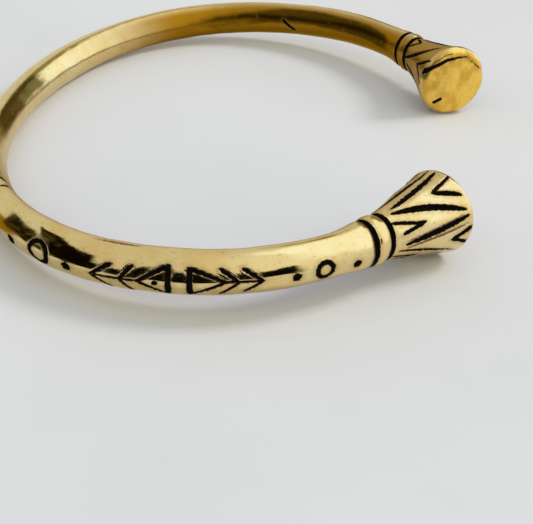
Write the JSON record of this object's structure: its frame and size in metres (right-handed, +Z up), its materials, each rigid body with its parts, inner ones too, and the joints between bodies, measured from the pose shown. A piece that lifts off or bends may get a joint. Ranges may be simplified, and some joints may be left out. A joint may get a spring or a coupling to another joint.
{
  "type": "cuff bracelet",
  "caption": "Open oval cuff bracelet cast in brass, with a collar and a flared, flat-faced terminal at each end.",
  "frame": {"origin": "on the ground under the middle of the cuff's bounding box, with the cuff lying on its side", "axes": "+X from the back towards the opening, +Y from one arm to the other, +Z up, along the wearer's arm"},
  "size_m": [0.05, 0.0688, 0.0079],
  "materials": {
    "brass": "hand-polished antique brass, dark patina left in the engraving"
  },
  "bodies": {
    "root": {"cuff": "brass"}
  },
  "joints": []
}
